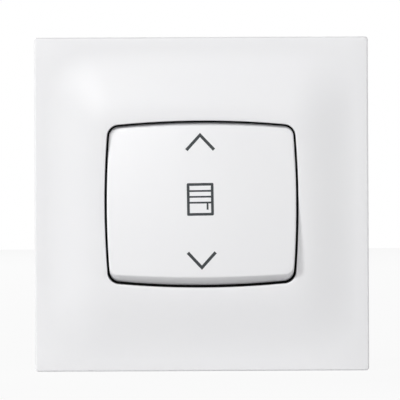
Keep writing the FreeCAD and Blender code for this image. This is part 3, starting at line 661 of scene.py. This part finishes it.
ink_height = 0.03              # above the face
ink_sink = 0.02                # below it, so that no gap shows
arrow_half_width = 3.64
arrow_rise = 4.0
arrow_stroke = 0.72
arrow_up_apex = 16.83
arrow_down_apex = -16.9
sign_width = 6.55
sign_top = 4.4
sign_foot = -3.62
sign_frame = 0.66
sign_corner = 0.3
sign_corner_segments = 3
slat_stroke = 0.44
slats = (2.45, 1.02, -0.42)
pull_x = 1.75
pull_length = 1.75
print_turn_deg = 0.6
print_shift = -0.14
sign_shift = -0.29

# Screen-printing ink, cured matt: a very dark grey with a slight blue cast.
ink = moulded_plastic(
    "printed_slate_ink", colour="#252B2F", shade="#1E2427",
    flow_mm=1.5, grain_mm=0.12, grain_depth_mm=0.002, roughness=0.5, spread=0.04,
)


def start_film(name, width, foot, top):
    """A flat sheet in the plane of the wall, from foot to top."""
    bpy.ops.object.select_all(action="DESELECT")
    bpy.ops.mesh.primitive_plane_add(size=1, rotation=(math.pi / 2, 0, 0))
    piece = bpy.context.object
    piece.name = name
    piece.data.name = name
    piece.scale = (width * mm, (top - foot) * mm, 1)
    piece.location = (0, 0, (top + foot) / 2 * mm)
    bpy.ops.object.transform_apply(location=True, rotation=True, scale=True)
    bpy.ops.object.mode_set(mode="EDIT")
    return piece


def cut_sheet(place, normal, clear_outer=False, clear_inner=False):
    """Bisects the whole sheet with a plane, given in millimetres."""
    bpy.ops.mesh.select_all(action="SELECT")
    bpy.ops.mesh.bisect(
        plane_co=[c * mm for c in place], plane_no=normal,
        clear_outer=clear_outer, clear_inner=clear_inner,
    )


def print_film(piece, shift):
    """Lays a cut film onto the dome, gives it its thickness and turns it with the rocker."""
    sheet = bmesh.from_edit_mesh(piece.data)
    turn = Matrix.Rotation(math.radians(-print_turn_deg), 4, "Y")
    for vertex in sheet.verts:
        vertex.co = turn @ vertex.co + Vector((shift * mm, 0, 0))
        vertex.co.y = dome(vertex.co.x, vertex.co.z) + ink_sink * mm
    bmesh.update_edit_mesh(piece.data)
    bpy.ops.mesh.select_all(action="SELECT")
    bpy.ops.mesh.extrude_region_move(
        TRANSFORM_OT_translate={"value": (0, -(ink_height + ink_sink) * mm, 0)}
    )
    close_shell(piece)
    to_rest(piece)
    smooth(piece)
    hand_over(piece, ink, "rocker", "plate_plastic")


def arrow(name, apex, way):
    """A chevron with square ends: a sheet, cut along both edges of its right arm, then mirrored."""
    slope = Vector((arrow_half_width, 0, -way * arrow_rise)).normalized()
    across = Vector((arrow_rise, 0, way * arrow_half_width)).normalized()
    ends = (apex - way * (arrow_rise + arrow_stroke), apex)
    piece = start_film(name, 2 * (arrow_half_width + arrow_stroke), min(ends), max(ends))
    outer = Vector((0, 0, apex))
    cut_sheet((0, 0, 0), (1, 0, 0), clear_inner=True)
    cut_sheet(outer, across, clear_outer=True)
    cut_sheet(outer - across * arrow_stroke, across, clear_inner=True)
    cut_sheet(outer + slope * math.hypot(arrow_half_width, arrow_rise), slope, clear_outer=True)
    bpy.ops.object.mode_set(mode="OBJECT")
    mirror = piece.modifiers.new("mirror", "MIRROR")
    mirror.merge_threshold = same_place * mm
    bpy.ops.object.modifier_apply(modifier=mirror.name)
    bpy.ops.object.mode_set(mode="EDIT")
    print_film(piece, print_shift)


def is_window(x, z):
    """True inside the sign's frame, apart from the slats and the pull."""
    if abs(x) > sign_width / 2 - sign_frame:
        return False
    if not sign_foot + sign_frame < z < sign_top - sign_frame:
        return False
    if any(abs(z - slat) < slat_stroke / 2 for slat in slats):
        return False
    return not (abs(x - pull_x) < slat_stroke / 2 and slats[-1] - pull_length < z < slats[-1])


def cut_windows(piece):
    """Deletes the faces between the lines of the sign."""
    bpy.ops.mesh.select_mode(type="FACE")
    bpy.ops.mesh.select_all(action="DESELECT")
    sheet = bmesh.from_edit_mesh(piece.data)
    for face in sheet.faces:
        middle = face.calc_center_median() / mm
        face.select_set(is_window(middle.x, middle.z))
    bmesh.update_edit_mesh(piece.data)
    bpy.ops.mesh.delete(type="FACE")


def round_corners(piece):
    """Rounds the four outer corners of the sign's frame."""
    bpy.ops.mesh.select_mode(type="VERT")
    bpy.ops.mesh.select_all(action="DESELECT")
    sheet = bmesh.from_edit_mesh(piece.data)
    near = sign_corner / 2
    for vertex in sheet.verts:
        x, z = vertex.co.x / mm, vertex.co.z / mm
        at_side = abs(abs(x) - sign_width / 2) < near
        at_end = min(abs(z - sign_top), abs(z - sign_foot)) < near
        vertex.select_set(at_side and at_end)
    bmesh.update_edit_mesh(piece.data)
    bpy.ops.mesh.bevel(offset=sign_corner * mm, segments=sign_corner_segments, affect="VERTICES")


arrow("arrow_up", arrow_up_apex, 1)
arrow("arrow_down", arrow_down_apex, -1)
shutter_sign = start_film("shutter_sign", sign_width, sign_foot, sign_top)
inner_half = sign_width / 2 - sign_frame
slat_half = slat_stroke / 2
for x in (-inner_half, pull_x - slat_half, pull_x + slat_half, inner_half):
    cut_sheet((x, 0, 0), (1, 0, 0))
levels = [sign_foot + sign_frame, sign_top - sign_frame, slats[-1] - pull_length]
levels += [z + edge for z in slats for edge in (-slat_half, slat_half)]
for z in levels:
    cut_sheet((0, 0, z), (0, 0, 1))
cut_windows(shutter_sign)
round_corners(shutter_sign)
print_film(shutter_sign, sign_shift)

# Cover plate: one hollow moulding in the same white, snapped onto the steel support by four hooks.
# Its face swells softly from a flat border to the barrel-shaped opening, whose lip is rounded. It is
# modelled from the opening outwards, round the edge and back behind: one ring after another.

opening_corner = 3.0
border_front = 7.6             # the depth of the flat border
rim_front = 10.0               # the depth of the opening's rim
collar_end = 2.4               # the depth of the collar's rear edge
rim_land = 0.9                 # the flat ring between the lip and the swell
lip_round = 0.2
plate_side = 82.0
plate_corner = 0.8
edge_round = 0.5
back_edge_round = 0.15
plate_wall = 2.0
swell_side = 76.8              # across the foot of the swell
swell_corner = 12.0
swell_bow = 1500.0
swell_crease = 0.15            # the share of the swell that rises evenly, from a crease
straight_bow = 1e5             # a bow so wide that the side is straight
collar_wall = 1.4
swell_steps = 16
plate_rib_half = 0.6
plate_rib_end = 3.8            # the depth of a rib's rear edge
in_rim_wall = 9.0              # this and the next four are places inside a wall, for roots
in_border_wall = 6.6
in_collar = 0.8
in_side_wall = 39.8
in_swell_wall = 8.2
hook_inner = 28.7              # the leg's sides and the tip of its barb, from the middle
hook_outer = 30.2
hook_tip = 27.9
hook_end = 1.2
barb_back = 2.35               # the depths at which the barb starts, peaks and ends
barb_middle = 2.95
barb_front = 3.55
hook_z = 21.5
hook_half_width = 2.8


def start_ring(name, ring):
    """A circle, opened out onto its first ring."""
    bpy.ops.object.select_all(action="DESELECT")
    bpy.ops.mesh.primitive_circle_add(vertices=len(ring), radius=mm, fill_type="NOTHING")
    piece = bpy.context.object
    piece.name = name
    piece.data.name = name
    bpy.ops.object.mode_set(mode="EDIT")
    sheet = bmesh.from_edit_mesh(piece.data)
    station = sheet.verts.layers.int.new("station")
    for i, vertex in enumerate(sheet.verts):
        vertex[station] = i
    bmesh.update_edit_mesh(piece.data)
    lay(piece, ring)
    return piece


def swell_ring(t, lift):
    """The raised face at share t of the way from the border (0) to the opening (1)."""
    curvature = (1 - t) / swell_bow + t / bow_radius
    rise = (rim_front - border_front) * (swell_crease * t + (1 - swell_crease) * t * t * (3 - 2 * t))
    return barrel(
        swell_side + t * (opening_width + 2 * rim_land - swell_side),
        swell_side + t * (opening_height + 2 * rim_land - swell_side),
        1 / curvature,
        swell_corner + t * (opening_corner + rim_land - swell_corner),
        lift - border_front - rise,
    )


def plate_lip():
    """From the opening's wall round its lip to the flat land."""
    rings = []
    for i in range(round_steps + 1):
        angle = math.pi / 2 * i / round_steps
        out = lip_round * (1 - math.cos(angle))
        y = lip_round * (1 - math.sin(angle)) - rim_front
        width, height = opening_width + 2 * out, opening_height + 2 * out
        rings.append(barrel(width, height, bow_radius, opening_corner + out, y))
    return rings


def plate_edge():
    """From the border's front round its outer edge."""
    rings = []
    for i in range(round_steps + 1):
        angle = math.pi / 2 * i / round_steps
        inset = edge_round * (1 - math.sin(angle))
        y = edge_round * (1 - math.cos(angle)) - border_front
        side = plate_side - 2 * inset
        rings.append(barrel(side, side, straight_bow, plate_corner - inset, y))
    return rings


def plate_back():
    """The back rim, the hollow behind the face, and the outside of the collar."""
    inner = plate_side - 2 * plate_wall
    rim_side = plate_side - 2 * back_edge_round
    rings = [
        barrel(plate_side, plate_side, straight_bow, plate_corner, -back_edge_round),
        barrel(rim_side, rim_side, straight_bow, plate_corner - back_edge_round, 0),
        barrel(inner, inner, straight_bow, plate_corner, 0),
        barrel(inner, inner, straight_bow, plate_corner, plate_wall - border_front),
    ]
    rings += [swell_ring(i / swell_steps, plate_wall) for i in range(swell_steps)]
    width, height = opening_width + 2 * collar_wall, opening_height + 2 * collar_wall
    for y in (plate_wall - rim_front, -collar_end):
        rings.append(barrel(width, height, bow_radius, opening_corner + collar_wall, y))
    return rings


def rib_profile(opening):
    """A rib seen from its side, as places outwards from the middle and along Y."""
    start = opening / 2 + in_collar
    return [
        (start, -in_rim_wall), (in_side_wall, -in_border_wall),
        (in_side_wall, -plate_rib_end), (start, -plate_rib_end),
    ]


def plate_ribs():
    """Four ribs from the collar to the sides, each rooted in the face and in both walls."""
    half = plate_rib_half
    bars = []
    for side in (-1, 1):
        flat = [(side * out, y, -half) for out, y in rib_profile(opening_width)]
        bars.append(prism([flat], (0, 0, 2 * half)))
        upright = [(-half, y, side * out) for out, y in rib_profile(opening_height)]
        bars.append(prism([upright], (2 * half, 0, 0)))
    return bars


def plate_hooks():
    """Four springy legs whose barbs snap into the windows of the support's tabs."""
    outline = [
        (hook_inner, -in_swell_wall), (hook_outer, -in_swell_wall), (hook_outer, -hook_end),
        (hook_inner, -hook_end), (hook_inner, -barb_back), (hook_tip, -barb_middle),
        (hook_tip, -barb_front), (hook_inner, -barb_front),
    ]
    bars = []
    for side in (-1, 1):
        for level in (-1, 1):
            start = level * hook_z - hook_half_width
            profile = [(side * x, y, start) for x, y in outline]
            bars.append(prism([profile], (0, 0, 2 * hook_half_width)))
    return bars


collar_ring = barrel(opening_width, opening_height, bow_radius, opening_corner, -collar_end)
plate = start_ring("plate_moulding", collar_ring)
extrude_rings(plate, plate_lip())
extrude_rings(plate, [swell_ring(1 - i / swell_steps, 0) for i in range(swell_steps + 1)])
extrude_rings(plate, plate_edge() + plate_back())
select_open_edges()
bpy.ops.mesh.bridge_edge_loops()
close_shell(plate)
weld(plate, plate_ribs() + plate_hooks())
smooth(plate)
hand_over(plate, white_plastic, "mechanism", "plate_plastic", "cover_plate")

# Floor: a plain pale table under the object, lacquered matt. It goes to white where the camera
# sees it, and keeps the object's shadow.

floor_drop = 0.02
floor_size = 6.0               # metres
floor_cloud_mm = 60
floor_white_share = 0.92


def background_seen(tree):
    """1 for the rays that show the background: the camera's, and those in metal and glass."""
    path = add(tree, "ShaderNodeLightPath", {})
    seen = path.outputs["Is Camera Ray"]
    for other in ("Is Glossy Ray", "Is Transmission Ray"):
        either = {0: seen, 1: path.outputs[other]}
        seen = add(tree, "ShaderNodeMath", either, operation="MAXIMUM").outputs[0]
    return seen


bpy.ops.object.select_all(action="DESELECT")
floor_level = -(plate_side / 2 + floor_drop) * mm
bpy.ops.mesh.primitive_plane_add(size=floor_size, location=(0, 0, floor_level))
floor = bpy.context.object
floor.name = "floor"
bpy.ops.object.transform_apply(location=True, rotation=False, scale=False)

# Pale lacquer, matt, that shines white by itself to the rays that show the background.
lacquer, tree, place = start_material("pale_table_lacquer")
clouds = noise(tree, place, floor_cloud_mm, cloud_detail)
lit = add(tree, "ShaderNodeBsdfDiffuse", {"Color": tinted(tree, clouds, "#D2D2D2", "#D6D6D6")})
glow = add(tree, "ShaderNodeEmission", {"Color": (1, 1, 1, 1), "Strength": 1.0})
share = add(
    tree, "ShaderNodeMath", {0: background_seen(tree), 1: floor_white_share}, operation="MULTIPLY",
)
mixed = add(
    tree, "ShaderNodeMixShader", {0: share.outputs[0], 1: lit.outputs[0], 2: glow.outputs[0]},
)
add(tree, "ShaderNodeOutputMaterial", {"Surface": mixed.outputs[0]})
floor.data.materials.append(lacquer)

# Light: a white room that gives an even fill, and soft lamps as in a small product studio. One high
# on the left leaves a soft highlight in the swell's corner, and one farther left throws the shadow.
# One behind the object lights its back in other views.

room_light = 0.22
lamp_distance = 2.5            # metres

world = bpy.data.worlds.new("white_room")
world.use_nodes = True
bpy.context.scene.world = world
room = world.node_tree
room.nodes.clear()
level = {"Value": background_seen(room), "To Min": room_light, "To Max": 1.0}
strength = add(room, "ShaderNodeMapRange", level).outputs["Result"]
room_glow = add(room, "ShaderNodeBackground", {"Color": (1, 1, 1, 1), "Strength": strength})
add(room, "ShaderNodeOutputWorld", {"Surface": room_glow.outputs[0]})


def lamp(name, towards, size, power):
    """A square soft lamp in a direction from the object, facing the middle of the plate. Its size
    is in metres and its power in watts."""
    place = lamp_distance * Vector(towards).normalized()
    bpy.ops.object.light_add(type="AREA", location=place)
    made = bpy.context.object
    made.name = name
    made.data.size = size
    made.data.energy = power
    made.rotation_euler = (-place).to_track_quat("-Z", "Y").to_euler()


lamp("softbox_upper_left", towards=(-0.21, -0.9, 0.38), size=0.75, power=11.2)
lamp("softbox_left", towards=(-0.95, -0.8, 0.28), size=0.5, power=32)
lamp("softbox_right", towards=(0.91, -0.41, 0), size=1.5, power=24)
lamp("softbox_front", towards=(0, -0.94, 0.33), size=1.25, power=2.5)
lamp("softbox_behind", towards=(-0.46, 0.76, 0.46), size=1.5, power=30)

# Camera: far off and square on, as for a catalogue picture. The object stands a quarter of a degree
# out of true in the photo, so the camera is rolled by as much.

camera_distance = 1.2          # metres
frame_width = 98.2
aim_x = -0.37
aim_z = 1.0
camera_roll_deg = 0.25
sensor = 36.0
bpy.ops.object.camera_add(
    location=(aim_x * mm, -camera_distance - border_front * mm, aim_z * mm),
    rotation=(math.pi / 2, math.radians(camera_roll_deg), 0),
)
camera = bpy.context.object
camera.data.sensor_width = sensor
camera.data.lens = sensor * camera_distance / (frame_width * mm)
bpy.context.scene.camera = camera
bpy.context.scene.view_settings.view_transform = "Standard"
